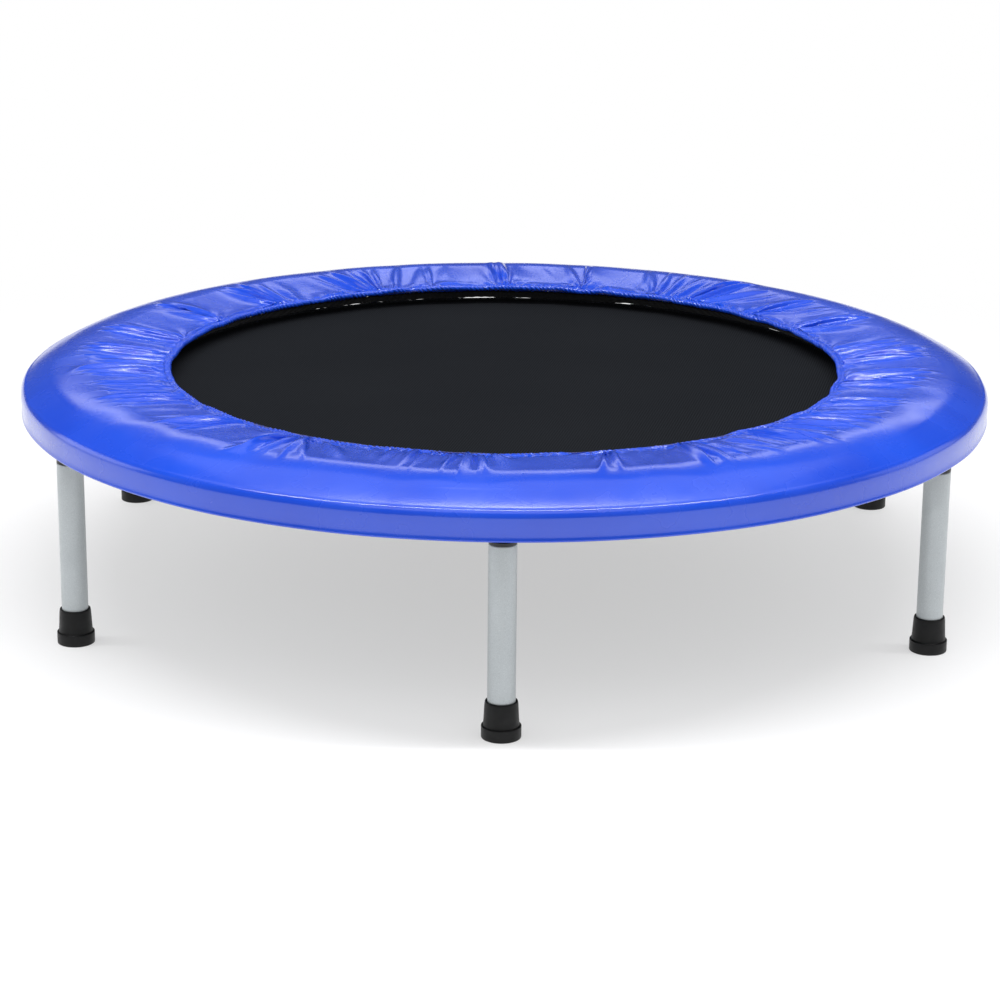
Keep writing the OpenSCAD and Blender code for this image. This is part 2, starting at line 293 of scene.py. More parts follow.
def makeFoam():
    # expanded polyethylene foam: off-white closed cells about 1.5 mm across with thin skins
    material, tree, shader, place = newMaterial("padFoam", IOR=1.5, Roughness=0.72, Subsurface_Weight=0.1)
    cells = addNode(tree, "ShaderNodeTexVoronoi", {"Vector": place, "Scale": perMm(1.8)}).outputs["Distance"]
    tone = spread(tree, noise(tree, place, 40, 3), 0, 1)
    tree.links.new(colourMix(tree, tone, fromHex("#DCDDDA"), fromHex("#F1F1EE")), shader.inputs["Base Color"])
    tree.links.new(bump(tree, cells, 0.35, 0.7), shader.inputs["Normal"])
    return material


def makeElastic():
    # braided elastic with a blue cover, which shows its plait
    material, tree, shader, place = newMaterial("braidedElastic", Roughness=0.7, Sheen_Weight=0.3)
    plait = addNode(tree, "ShaderNodeTexWave", {"Vector": place, "Scale": perMm(1.5) / 3.2, "Distortion": 1.5},
                    bands_direction="DIAGONAL").outputs["Fac"]
    tree.links.new(colourMix(tree, plait, fromHex("#0F1C66"), fromHex("#23369C")), shader.inputs["Base Color"])
    tree.links.new(bump(tree, plait, 0.3, 0.8), shader.inputs["Normal"])
    return material


def makeThread():
    # bonded polyester thread, a twist every millimetre
    material, tree, shader, place = newMaterial("stitchThread", Roughness=0.6, Sheen_Weight=0.2)
    twist = addNode(tree, "ShaderNodeTexWave", {"Vector": place, "Scale": perMm(1) / 3.2},
                    bands_direction="DIAGONAL").outputs["Fac"]
    tree.links.new(colourMix(tree, twist, fromHex("#1A1C1F"), fromHex("#3A3D41")), shader.inputs["Base Color"])
    tree.links.new(bump(tree, twist, 0.15, 0.7), shader.inputs["Normal"])
    return material


def makeShadeLining():
    # knitted backing of the coated cloth, made black as painted shade for the deep shadow under the pad's lip:
    # matt, with fine wales
    material, tree, shader, place = newMaterial(
        "backingPaintedShade", Roughness=0.9, Specular_IOR_Level=0.1, Sheen_Weight=0.1)
    wales = addNode(tree, "ShaderNodeTexWave",
                    {"Vector": place, "Scale": perMm(1.2) / 3.2, "Distortion": 0.6}).outputs["Fac"]
    tree.links.new(colourMix(tree, wales, fromHex("#08080A"), fromHex("#121316")), shader.inputs["Base Color"])
    tree.links.new(bump(tree, wales, 0.2, 0.6), shader.inputs["Normal"])
    return material


def makeFloor():
    # seamless paper sweep: white, faintly uneven, and blown out to white away from the piece
    material, tree, shader, place = newMaterial("studioPaper", Roughness=0.6, Specular_IOR_Level=0.1)
    cloud = spread(tree, noise(tree, place, 700, 2), 0, 1)
    tree.links.new(colourMix(tree, cloud, fromHex("#F1F1F3"), fromHex("#F6F6F8")), shader.inputs["Base Color"])
    far = addNode(tree, "ShaderNodeVectorMath", {0: place}, operation="LENGTH").outputs["Value"]
    fade = spread(tree, far, 0.5, 1, 0.75, 1.5)
    glow = addNode(tree, "ShaderNodeEmission", {"Color": (1, 1, 1, 1), "Strength": 1.0}).outputs[0]
    mixed = addNode(tree, "ShaderNodeMixShader", {0: fade, 1: shader.outputs[0], 2: glow}).outputs[0]
    tree.links.new(mixed, tree.nodes["Material Output"].inputs["Surface"])
    return material


materials = {
    "padVinyl": makePadVinyl(), "matWeave": makeMatWeave(), "webbing": makeWebbing(), "legPaint": makeLegPaint(),
    "framePaint": makeFramePaint(), "zinc": makeZinc(), "rubber": makeRubber(), "nylon": makeNylon(),
    "foam": makeFoam(), "elastic": makeElastic(), "thread": makeThread(), "lining": makeShadeLining(),
    "floor": makeFloor(),
}
print("materials made:", len(materials))


# helpers for making pieces

def dress(piece, material, body, slot, *nodes):
    piece.data.materials.clear()
    piece.data.materials.append(materials[material])
    if body is not None:
        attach(piece, body)
    if nodes:
        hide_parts(*nodes)
    return piece


def selectOnly(*pieces):
    bpy.ops.object.select_all(action="DESELECT")
    for piece in pieces:
        piece.select_set(True)
    bpy.context.view_layer.objects.active = pieces[0]


def settle(piece):
    # place, turn and size go into the mesh, so the object stays at the origin
    selectOnly(piece)
    bpy.ops.object.transform_apply(location=True, rotation=True, scale=True)


def joined(pieces, name):
    selectOnly(*pieces)
    if len(pieces) > 1:
        bpy.ops.object.join()
    pieces[0].name = pieces[0].data.name = name
    return pieces[0]


def smoothShade(piece, degrees):
    selectOnly(piece)
    bpy.ops.object.shade_smooth_by_angle(angle=math.radians(degrees))


def copyTurned(piece, name, angle, lift=(0, 0, 0)):
    twin = piece.copy()
    twin.data = piece.data.copy()
    bpy.context.collection.objects.link(twin)
    twin.data.transform(Matrix.Translation(lift) @ Matrix.Rotation(angle, 4, "Z"))
    twin.name = twin.data.name = name
    return twin


def wirePiece(name, points, radius, closed=False, sides=8):
    # a wire bent through the points, as a mesh
    bpy.ops.curve.primitive_bezier_curve_add(location=(0, 0, 0))
    wire = bpy.context.object
    wire.name = name
    wire.data.splines.clear()
    run = wire.data.splines.new("POLY")
    run.points.add(len(points) - 1)
    for spot, point in zip(run.points, points):
        spot.co = (*point, 1)
    run.use_cyclic_u = closed
    wire.data.bevel_depth = radius
    wire.data.bevel_resolution = max(0, sides // 2 - 2)
    wire.data.use_fill_caps = not closed
    bpy.ops.object.convert(target="MESH")
    wire = bpy.context.object
    wire.data.name = name
    return wire


def spunPiece(name, profile, place, steps=64, closed=False):
    # a profile of (radius, height) points extruded point by point, then spun round the piece's own axis
    bpy.ops.mesh.primitive_plane_add(size=0.001, location=(0, 0, 0))
    piece = bpy.context.object
    piece.name = piece.data.name = name
    bpy.ops.object.mode_set(mode="EDIT")
    bpy.ops.mesh.merge(type="CENTER")
    bpy.ops.transform.translate(value=(profile[0][0], 0, profile[0][1]))
    for (r0, z0), (r1, z1) in zip(profile, profile[1:]):
        bpy.ops.mesh.extrude_region_move(TRANSFORM_OT_translate={"value": (r1 - r0, 0, z1 - z0)})
    if closed:
        bpy.ops.mesh.select_all(action="SELECT")
        bpy.ops.mesh.remove_doubles(threshold=1e-6)
    bpy.ops.mesh.select_all(action="SELECT")
    bpy.ops.mesh.spin(steps=steps, angle=fullTurn, center=(0, 0, 0), axis=(0, 0, 1))
    bpy.ops.mesh.select_all(action="SELECT")
    bpy.ops.mesh.remove_doubles(threshold=2e-6)
    bpy.ops.mesh.normals_make_consistent(inside=False)
    bpy.ops.object.mode_set(mode="OBJECT")
    piece.data.transform(Matrix.Translation(place))
    return piece


def meshPiece(name, points, faces):
    mesh = bpy.data.meshes.new(name)
    mesh.from_pydata([tuple(map(float, p)) for p in points], [], [tuple(map(int, f)) for f in faces])
    mesh.update()
    piece = bpy.data.objects.new(name, mesh)
    bpy.context.collection.objects.link(piece)
    return piece


def roundRow(r, theta, z):
    # points round the middle at a radius and a height, either of which may vary
    return np.stack([r * np.cos(theta), r * np.sin(theta), z + 0 * theta], -1)


def bandFaces(a, b, around):
    # quads between two rings of points that start at a and b
    here = np.arange(around)
    after = (here + 1) % around
    return np.stack([a + here, a + after, b + after, b + here], -1).tolist()


def sweptFaces(rows, around):
    # a closed section of so many rows, all the way round
    return [face for k in range(rows) for face in bandFaces(k * around, ((k + 1) % rows) * around, around)]


def shadeAll(piece):
    piece.data.polygons.foreach_set("use_smooth", [True] * len(piece.data.polygons))


def arcPoints(centre, radius, start, end, count):
    # points of an arc in the section, angles in degrees
    return [(centre[0] + radius * math.cos(math.radians(start + (end - start) * i / count)),
             centre[1] + radius * math.sin(math.radians(start + (end - start) * i / count)))
            for i in range(count + 1)]


# sizes taken from the frame's nodes

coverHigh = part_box("pad_cover")[1]
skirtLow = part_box("pad_skirt")[0]
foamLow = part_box("pad_foam")[0]
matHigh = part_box("mat")[1]
bandLow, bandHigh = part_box("mat_band")
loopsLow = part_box("mat_loops")[0]
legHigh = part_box("leg_1")[1]
footLow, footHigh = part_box("foot_1")
outerR = coverHigh.x
padTop = coverHigh.z
frameR = -(footLow.y + footHigh.y) / 2
frameZ = skirtLow.z + 0.018  # middle of the ring's tube
matR = matHigh.x
barR = matR + 0.0045  # middle of a V-ring's bar
tipR = barR + 0.0155  # and of its tip


def legAngle(i):
    return math.radians(240 + (i - 0.5) * 60)


def springAngle(i):
    return math.radians(240 + (i - 0.5) * 12)


def waves(rng, theta, low, high, count):
    total = np.zeros_like(theta)
    for _ in range(count):
        total += np.sin(rng.integers(low, high) * theta + rng.uniform(0, fullTurn))
    return total / math.sqrt(count / 2)


# pad cover

padSettings = {
    "casingR": 0.3367, "casingZ": 0.2185, "casingRadius": 0.0026,  # the gathered tube round the elastic
    "casingFoot": (0.3405, 0.2166), "casingTail": ((0.3391, 0.2205), (0.3403, 0.2204)),
    "liningEdge": ((0.3412, 0.2190), (0.3413, 0.2178)),
    "flapR": 0.3605, "flapZ": matHigh.z + 0.0018,
    "crownR": outerR - 0.066, "domeR": 0.1124, "lean": 33, "edgeRound": 0.010,
    "hemRadius": 0.0016,
    "sheetIn": (0.3415, 0.2206), "sheetOut": (0.4540, 0.2220),
    "levels": ((28, 480, 220), (44, 960, 110), (58, 1440, 80)),  # rows, points round, steps
    "twist": 0.0070,       # how far the elastic drags the cloth sideways
    "bunch": 0.2,          # how unevenly it is gathered
    "slack": 0.02,         # extra length from the elastic to the edge
    "gathers": 440,
    "gatherDepth": 0.0011,
    "damping": 0.88, "shear": 0.15, "bendAround": 0.08, "bendDown": 0.06,
    "seed": 11,
}


def domeHeight(r, sunk=0.0):
    # top of the pad at a radius: level to the highest line, then falling along an arc to the edge
    inside, crown, dome = padSettings["sheetIn"], padSettings["crownR"], padSettings["domeR"]
    slope = (padTop - inside[1]) / (crown - inside[0])
    rise = np.minimum(r - crown, 0) * slope
    fall = np.sqrt(np.maximum(dome ** 2 - np.maximum(r - crown, 0) ** 2, 0)) - dome
    return padTop - 0.0004 - sunk + rise + fall


def pull(a, b, length, force):
    # how far a moves towards b for the two to lie at their length
    gap = b - a
    size = np.sqrt((gap * gap).sum(-1, keepdims=True)) + 1e-9
    return gap * ((size - length) / size * force)


def relaxSheet(p):
    # gathered cloth between the elastic and the smooth edge: more cloth than room, so it buckles into folds
    rng = np.random.default_rng(p["seed"])
    rIn, rOut = p["sheetIn"][0], p["sheetOut"][0]
    around = p["levels"][-1][1]
    fine = np.arange(around) * fullTurn / around
    twist = waves(rng, fine, 3, 30, 14) * p["twist"] / rIn
    twist = twist + waves(rng, fine, 30, 90, 20) * p["twist"] * 0.12 / rIn
    bunch = 1 + p["bunch"] * waves(rng, fine, 4, 40, 16)
    slack = np.clip(waves(rng, fine, 6, 50, 14), 0, None) * p["slack"]
    cloth = None
    for rows, around, steps in p["levels"]:
        theta = np.arange(around) * fullTurn / around
        share = np.linspace(0, 1, rows)
        r = rIn + (rOut - rIn) * share
        z = domeHeight(r)
        at = lambda values: np.interp(theta, fine, values, period=fullTurn)
        if cloth is None:
            angle = theta[None, :] + at(twist)[None, :] * ((1 - share) ** 1.3)[:, None]
            rough = np.zeros((rows, around))
            for _ in range(40):
                ripple = np.sin(rng.integers(40, 200) * theta + rng.uniform(0, fullTurn))
                rough += ripple[None, :] * ((1 - share) ** 2)[:, None]
            cloth = roundRow(r[:, None], angle, z[:, None] + rough * 0.0003)
        else:
            oldRows, oldAround = cloth.shape[:2]
            wrapped = np.concatenate([cloth[:, -1:], cloth, cloth[:, :2]], 1)
            spots = np.arange(-1, oldAround + 2) / oldAround
            wide = np.stack([[np.interp(np.arange(around) / around, spots, wrapped[i, :, c]) for c in range(3)]
                             for i in range(oldRows)]).transpose(0, 2, 1)
            row = share * (oldRows - 1)
            first = np.minimum(row.astype(int), oldRows - 2)
            part = (row - first)[:, None, None]
            cloth = wide[first] * (1 - part) + wide[first + 1] * part
            cloth[1:-2, :, 2] += rng.normal(0, 0.00006, (rows - 3, around))
            for _ in range(30):
                turns = rng.integers(120, min(around // 4, 330))
                cloth[0, :, 2] += 0.00010 * np.sin(turns * theta + rng.uniform(0, fullTurn))
        cloth = cloth.astype(np.float32)
        gathering = np.clip(at(bunch), 0.35, 1.7)[None, :]
        restAround = ((r[:, None] + (rOut - r)[:, None] * gathering) * fullTurn / around)
        restAround = restAround.astype(np.float32)[..., None]
        restDown = (math.hypot(r[1] - r[0], z[1] - z[0]) * (1 + at(slack)[None, :] * np.ones((rows - 1, 1))))
        restDown = restDown.astype(np.float32)[..., None]
        restSlant = np.sqrt(((restAround[1:] + restAround[:-1]) / 2) ** 2 + restDown ** 2)
        free = np.ones((rows, 1, 1), np.float32)
        free[[0, -2, -1]] = 0
        foamTop = (z - 0.0010).astype(np.float32)[:, None]
        before = cloth.copy()
        for _ in range(steps):
            moved = cloth + (cloth - before) * p["damping"]
            before = cloth
            cloth = moved * free + cloth * (1 - free)
            for _ in range(3):
                move = np.zeros_like(cloth)
                right = np.roll(cloth, -1, 1)
                c = pull(cloth, right, restAround, 0.5)
                move += c
                move -= np.roll(c, 1, 1)
                c = pull(cloth[:-1], cloth[1:], restDown, 0.5)
                move[:-1] += c
                move[1:] -= c
                c = pull(cloth[:-1], right[1:], restSlant, p["shear"])
                move[:-1] += c
                move[1:] -= np.roll(c, 1, 1)
                c = pull(right[:-1], cloth[1:], restSlant, p["shear"])
                move[:-1] += np.roll(c, 1, 1)
                move[1:] -= c
                move += ((right + np.roll(cloth, 1, 1)) / 2 - cloth) * p["bendAround"]
                move[1:-1] += ((cloth[2:] + cloth[:-2]) / 2 - cloth[1:-1]) * p["bendDown"]
                cloth = cloth + move * free * 0.5
                cloth[..., 2] = np.maximum(cloth[..., 2], foamTop)
    # the folds die away at different distances from the elastic
    smooth = roundRow(r[:, None], theta, z[:, None])
    reach = 0.80 + 0.07 * np.clip(waves(rng, theta, 5, 46, 16), -2, 2)
    fade = np.clip((reach[None, :] + 0.18 - share[:, None]) / 0.42, 0, 1)
    fade = (fade * fade * (3 - 2 * fade))[..., None]
    return smooth + (cloth - smooth) * fade, share


def coverRows(p):
    rng = np.random.default_rng(p["seed"] + 1)
    around = p["levels"][-1][1]
    sheet, share = relaxSheet(p)
    fineAround = 2 * around
    fineTheta = np.arange(fineAround) * fullTurn / fineAround
    # gathers in the casing: round bumps with pinched valleys, unevenly spaced
    phase = p["gathers"] * fineTheta / 2 + waves(rng, fineTheta, 3, 60, 24) * 0.9
    secondPhase = p["gathers"] * 0.63 * fineTheta / 2 + waves(rng, fineTheta, 3, 60, 24) * 0.9
    size = np.clip(0.75 + 0.35 * waves(rng, fineTheta, 5, 90, 20), 0.2, 1.6)
    bumps = (np.abs(np.sin(phase)) ** 0.75 - 0.62) * size + 0.35 * (np.abs(np.sin(secondPhase)) - 0.6)
    drift = waves(rng, fineTheta, 4, 40, 16) * 0.0007
    tall = waves(rng, fineTheta, 5, 60, 16) * 0.0004 + 0.0016 * np.sin(fineTheta)
    casing = (p["casingR"], p["casingZ"])
    section = [p["casingFoot"], *arcPoints(casing, p["casingRadius"], 290, 60, 14), *p["casingTail"]]
    rowsFine = []
    last = len(section) - 2
    for k, (x, z) in enumerate(section):
        out = np.array([x - casing[0], z - casing[1]])
        out = out / (np.linalg.norm(out) + 1e-9)
        bulge = np.roll(bumps, k) * p["gatherDepth"] * (0.3 if k == 0 else 1.0)
        radius = x + out[0] * bulge + drift * (k > 0)
        height = z + out[1] * bulge + tall * (k > 1)
        if k >= last:
            height = z + np.minimum(bulge, 0.0004) * 1.2 + tall
        rowsFine.append(roundRow(radius, fineTheta, height))
    return sheet, share, rowsFine, fineTheta, bumps, drift, tall


def makePadCover(p):
    sheet, share, rowsFine, fineTheta, bumps, drift, tall = coverRows(p)
    around = sheet.shape[1]
    theta = np.arange(around) * fullTurn / around
    # the elastic's small gathers run on into the first rows of the sheet
    rows = []
    radial = roundRow(1, theta, 0)
    for k in range(sheet.shape[0]):
        row = sheet[k].copy()
        fade = max(0.0, 1 - share[k] / 0.16)
        teeth = np.roll(bumps, 6 + 2 * k)[::2] * p["gatherDepth"] * 0.9
        row[:, 2] += fade ** 1.5 * teeth + fade * tall[::2]
        row += radial * (drift[::2] * fade)[:, None]
        rows.append(row)
    unevenness = np.clip(waves(np.random.default_rng(p["seed"] + 2), theta, 3, 26, 12), -2, 2)
    # rounded edge, skirt and hem, a little uneven
    low = skirtLow.z
    edge, lean = p["edgeRound"], math.radians(p["lean"])
    edgeR = outerR - edge
    edgeZ = padTop - p["domeR"] + (p["domeR"] - edge) * math.cos(lean)
    fallEnd = p["crownR"] + p["domeR"] * math.sin(lean)
    fall = [(r, float(domeHeight(r))) for r in np.linspace(p["sheetOut"][0], fallEnd, 14)[1:]]
    turn = arcPoints((edgeR, edgeZ), edge - 0.0002, 90 - p["lean"] - 4, 0, 9)
    hemX, hemZ = outerR - p["hemRadius"], low + p["hemRadius"]
    skirt = [(outerR - 0.0001, edgeZ - 0.005), (outerR - 0.0004, edgeZ - 0.010),
             (outerR - 0.0005, hemZ + 0.0045)]
    hem = arcPoints((hemX, hemZ), p["hemRadius"], 40, -220, 10)
    inner = [(outerR - 0.0024, hemZ + 0.003), (outerR - 0.0014, hemZ + 0.006), (outerR - 0.0013, edgeZ)]
    inner += arcPoints((edgeR, edgeZ), edge - 0.0011, 10, 55, 4)
    for x, z in fall + turn + skirt + hem + inner:
        rows.append(roundRow(x + unevenness * 0.00025 - 0.0003, theta, z))
    for r in np.linspace(fallEnd, p["sheetOut"][0], 7)[1:]:
        rows.append(roundRow(r, theta, domeHeight(r, 0.0010)))
    # the lining side of the sheet, back to the flap
    for k in range(sheet.shape[0] - 4, 1, -4):
        row = rows[k].copy()
        row[:, 2] -= 0.0009
        rows.append(row)
    rows += [roundRow(x, theta, z) for x, z in p["liningEdge"]]
    points = np.concatenate([np.concatenate(rowsFine), np.concatenate(rows)])
    fine = len(fineTheta)
    here = np.arange(around)
    after = (here + 1) % around
    faces = []
    for k in range(len(rowsFine) - 1):
        faces += bandFaces(k * fine, (k + 1) * fine, fine)
    start = len(rowsFine) * fine
    a = (len(rowsFine) - 1) * fine
    twice = 2 * here  # the casing has two points for each of the sheet's
    faces += np.stack([a + twice, a + twice + 1, a + (twice + 2) % fine, start + after, start + here], -1).tolist()
    for k in range(len(rows) - 1):
        faces += bandFaces(start + k * around, start + (k + 1) * around, around)
    a = start + (len(rows) - 1) * around
    faces += np.stack([a + here, a + after, (twice + 2) % fine, twice + 1, twice], -1).tolist()
    cover = meshPiece("padCover", points, faces)
    shadeAll(cover)
    # where each point is along the cloth, and how gathered it is there
    angle = np.arctan2(points[:, 1], points[:, 0])
    reach = np.hypot(points[:, 0], points[:, 1])
    sewn = np.stack([0.4 * np.cos(angle), 0.4 * np.sin(angle), reach], -1).astype(np.float32)
    gathered = np.clip((0.445 - reach) / 0.085, 0, 1).astype(np.float32)
    cover.data.attributes.new("sewn", "FLOAT_VECTOR", "POINT").data.foreach_set("vector", sewn.ravel())
    cover.data.attributes.new("gathered", "FLOAT", "POINT").data.foreach_set("value", gathered)
    dress(cover, "padVinyl", "frame", "pad_pvc", "pad_cover", "pad_skirt")
    return cover


def makePadShadeLining(p):
    # the cover's back, turned under the elastic and hanging to the mat's edge, drawn black: a dark sheet put in
    # the shadow under the lip as painted shade
    rng = np.random.default_rng(p["seed"] + 4)
    around = 1440
    theta = np.arange(around) * fullTurn / around
    folds = np.abs(np.sin(p["gathers"] * theta / 4 + waves(rng, theta, 3, 40, 16))) - 0.6
    sag = waves(rng, theta, 3, 40, 14)
    start, end = np.array([0.3395, 0.2160]), np.array([p["flapR"], p["flapZ"]])
    rows = []
    for share in (0, 0.15, 0.35, 0.55, 0.75, 0.9, 1.0):
        r, z = start + (end - start) * share
        lift = folds * 0.0007 * (1 - 0.4 * share) + sag * 0.0003 * share
        droop = 0.0012 * math.sin(math.pi * share)
        rows.append((r + sag * 0.0006 * share, z + lift - droop + 0.0004 * share))
    rows += [(r, z - 0.0007) for r, z in rows[::-1]]
    points = np.concatenate([roundRow(r, theta, z) for r, z in rows])
    lining = meshPiece("padLiningPaintedShade", points, sweptFaces(len(rows), around))
    shadeAll(lining)
    # the black backing here is painted shade for the dark band under the lip
    dress(lining, "lining", "frame", "pad_pvc")


padCover = makePadCover(padSettings)
makePadShadeLining(padSettings)
print("pad cover made:", len(padCover.data.polygons), "faces")


# foam and elastic in the pad

foamSettings = {
    "around": 480, "wobble": 0.0003, "seed": 5, "sunk": 0.0028,
    "underside": (0.3500, 0.380, 0.420, 0.455, 0.4695),
    "upper": (0.465, 0.458, 0.450, 0.440, 0.430, 0.420, 0.410, 0.390, 0.370),
    "innerEdge": ((0.356, 0.2182), (0.3470, 0.2164), (0.3460, 0.2158), (0.3466, 0.2150)),
}


def ringPiece(name, section, around, wobble, seed):
    # a closed section swept round the middle, with a slightly uneven cut
    rng = np.random.default_rng(seed)
    theta = np.arange(around) * fullTurn / around
    rows = []
    for x, z in section:
        r = x + wobble * waves(rng, theta, 3, 60, 12)
        rows.append(roundRow(r, theta, z + wobble * waves(rng, theta, 3, 60, 12)))
    piece = meshPiece(name, np.concatenate(rows), sweptFaces(len(section), around))
    shadeAll(piece)
    return piece


def makePadFoam(p):
    low = foamLow.z + 0.0004
    section = [(r, low) for r in p["underside"]] + [(0.4702, low + 0.0006)]
    section += [(r, float(domeHeight(r, p["sunk"]))) for r in p["upper"]]
    section += p["innerEdge"]
    foam = ringPiece("padFoam", section, p["around"], p["wobble"], p["seed"])
    smoothShade(foam, 50)
    dress(foam, "foam", "frame", "pad_foam", "pad_foam")


def makeElasticCord():
    section = arcPoints((padSettings["casingR"], padSettings["casingZ"]), 0.0012, 0, 324, 9)
    cord = ringPiece("padElastic", section, 720, 0.00008, 9)
    dress(cord, "elastic", "frame", "pad_elastic", "pad_elastic")


makePadFoam(foamSettings)
makeElasticCord()
print("foam and elastic made")


# mat

matSettings = {"rings": 40, "around": 720, "thickness": 0.0012, "scallop": 0.0009, "ripple": 0.00018, "seed": 3}


def makeMat(p):
    rng = np.random.default_rng(p["seed"])
    theta = np.arange(p["around"]) * fullTurn / p["around"]
    top, under = matHigh.z, matHigh.z - p["thickness"]
    radii = matR * np.concatenate([np.linspace(0.025, 0.985, p["rings"] - 4), [0.99, 0.995, 0.9985, 1.0]])
    # the edge is drawn out at each spring and runs in between them
    pulled = p["scallop"] * (0.5 - 0.5 * np.cos(springCount * (theta - springAngle(1))))
    ripple = [waves(rng, theta, 2, 9, 6) for _ in range(3)]
    rows = []
    for r in radii:
        share = r / matR
        radius = r - pulled * share ** 6
        lift = p["ripple"] * share * (ripple[0] * (1 - share) + ripple[1] * share * (1 - share) * 2) - 0.0001
        rows.append(roundRow(radius, theta, top + lift - 0.0002))
    lower = [row - np.array([0, 0, p["thickness"]]) for row in rows]
    rows[-1] = rows[-1] - np.array([0, 0, 0.0003])
    lower[-1] = lower[-1] + np.array([0, 0, 0.0003])
    around = p["around"]
    points = np.concatenate([np.concatenate(rows[::-1]), np.array([[0, 0, top - 0.0002]]),
                             np.array([[0, 0, under - 0.0002]]), np.concatenate(lower)])
    count = len(rows)
    faces = []
    for k in range(count - 1):
        faces += bandFaces(k * around, (k + 1) * around, around)
    a = (count - 1) * around
    centreTop, centreUnder = count * around, count * around + 1
    base = count * around + 2
    faces += [[a + i, a + (i + 1) % around, centreTop] for i in range(around)]
    faces += [[base + (i + 1) % around, base + i, centreUnder] for i in range(around)]
    for k in range(count - 1):
        faces += bandFaces(base + k * around, base + (k + 1) * around, around)
    faces += bandFaces(base + (count - 1) * around, 0, around)
    mat = meshPiece("jumpMat", points, faces)
    smoothShade(mat, 40)
    dress(mat, "matWeave", "mat", "mat_fabric", "mat")
    return mat


jumpMat = makeMat(matSettings)
print("mat made")


# webbing under the mat

webbingSettings = {
    "bandIn": matR - 0.0278, "tailX": matR - 0.0285, "loopWidth": 0.0155, "thickness": 0.0006,
    "barX": barR, "barZ": frameZ,
}


def makeBand():
    low, high = bandLow.z + 0.0001, bandHigh.z - 0.0001
    middle = (low + high) / 2
    inside, outside = webbingSettings["bandIn"], matR - 0.0008
    between = (inside + outside) / 2
    section = [(inside, middle), (inside + 0.0006, low), (inside + 0.003, low),
               (inside + 0.0036, low + 0.0003), (inside + 0.0042, low), (between, low), (outside - 0.0042, low),
               (outside - 0.0036, low + 0.0003), (outside - 0.003, low), (outside - 0.0006, low),
               (outside, middle), (outside - 0.0006, high), (between, high), (inside + 0.0006, high)]
    band = ringPiece("matBand", section, 720, 0.00005, 21)
    dress(band, "webbing", "mat", "webbing", "mat_band")
    return band


def strapLoop():
    # doubled strap: along under the band, round the ring's bar and back
    w = webbingSettings
    t = w["thickness"]
    lowLine, highLine = loopsLow.z + 0.0001 + t / 2, bandLow.z - 0.0001 - t / 2
    bar = (w["barX"], w["barZ"])
    radius = 0.0015 + 0.0003 + 0.0004 + t / 2
    path = [(w["tailX"] + 0.0006, lowLine), (matR - 0.015, lowLine), (matR - 0.002, lowLine),
            (matR + 0.0025, lowLine + 0.0002)]
    path += arcPoints(bar, radius + 0.0004, -80, 150, 12)
    path += [(matR + 0.0005, highLine + 0.0006), (matR - 0.002, highLine), (matR - 0.015, highLine),
             (w["tailX"], highLine)]
    path = [Vector((x, 0, z)) for x, z in path]
    rows = []
    half = w["loopWidth"] / 2
    outline = ((-half + 0.0003, -1), (half - 0.0003, -1), (half, 0),
               (half - 0.0003, 1), (-half + 0.0003, 1), (-half, 0))
    for k, point in enumerate(path):
        along = (path[min(k + 1, len(path) - 1)] - path[max(k - 1, 0)]).normalized()
        out = Vector((along.z, 0, -along.x))
        rows.append([point + out * (side * t / 2) + Vector((0, y, 0)) for y, side in outline])
    points = [v for ring in rows for v in ring]
    n = 6
    faces = [(k * n + j, k * n + (j + 1) % n, (k + 1) * n + (j + 1) % n, (k + 1) * n + j)
             for k in range(len(rows) - 1) for j in range(n)]
    faces += [tuple(range(n))[::-1], tuple((len(rows) - 1) * n + j for j in range(n))]
    loop = meshPiece("strapLoop", points, faces)
    selectOnly(loop)
    bpy.ops.object.mode_set(mode="EDIT")
    bpy.ops.mesh.select_all(action="SELECT")
    bpy.ops.mesh.normals_make_consistent(inside=False)
    bpy.ops.object.mode_set(mode="OBJECT")
    smoothShade(loop, 50)
    return loop


def stitchBars():
    # two zigzag bars and two side rows of thread on one loop
    z = loopsLow.z + 0.0001
    threads = []
    for x0 in (matR - 0.0252, matR - 0.0065):
        zig = [(x0 + (0.0012 if k % 2 else -0.0012), -0.0062 + 0.0124 * k / 16, z) for k in range(17)]
        threads.append(wirePiece("zigzag", zig, 0.00022, sides=4))
    for y in (-0.0062, 0.0062):
        run = [(matR - 0.0235 + 0.0155 * k / 14, y, z + (0.00015 if k % 2 else -0.0001)) for k in range(15)]
        threads.append(wirePiece("row", run, 0.00022, sides=4))
    return joined(threads, "stitchSet")


def repeatRound(piece, name, count, angleOf):
    twins = [copyTurned(piece, f"{name}_{i}", angleOf(i)) for i in range(1, count + 1)]
    bpy.data.objects.remove(piece, do_unlink=True)
    return twins


matBand = makeBand()
matLoops = joined(repeatRound(strapLoop(), "loop", springCount, springAngle), "matLoops")
dress(matLoops, "webbing", "mat", "webbing", "mat_loops")
matStitches = joined(repeatRound(stitchBars(), "stitch", springCount, springAngle), "matStitches")
dress(matStitches, "thread", "mat", "webbing")
print("webbing made")


# V-rings

ringSettings = {"wire": 0.0015, "barX": barR, "tipX": tipR, "barHalf": 0.0122, "tipHalf": 0.0035, "bend": 0.0026}


def roundedLoop(corners, bend, steps=6):
    # a closed run of points with a bend at each corner
    points = []
    n = len(corners)
    for k, corner in enumerate(corners):
        before = (corners[k - 1] - corner).normalized()
        after = (corners[(k + 1) % n] - corner).normalized()
        for i in range(steps + 1):
            t = i / steps
            start, end = corner + before * bend, corner + after * bend
            points.append(start * (1 - t) ** 2 + corner * 2 * t * (1 - t) + end * t ** 2)
    return points


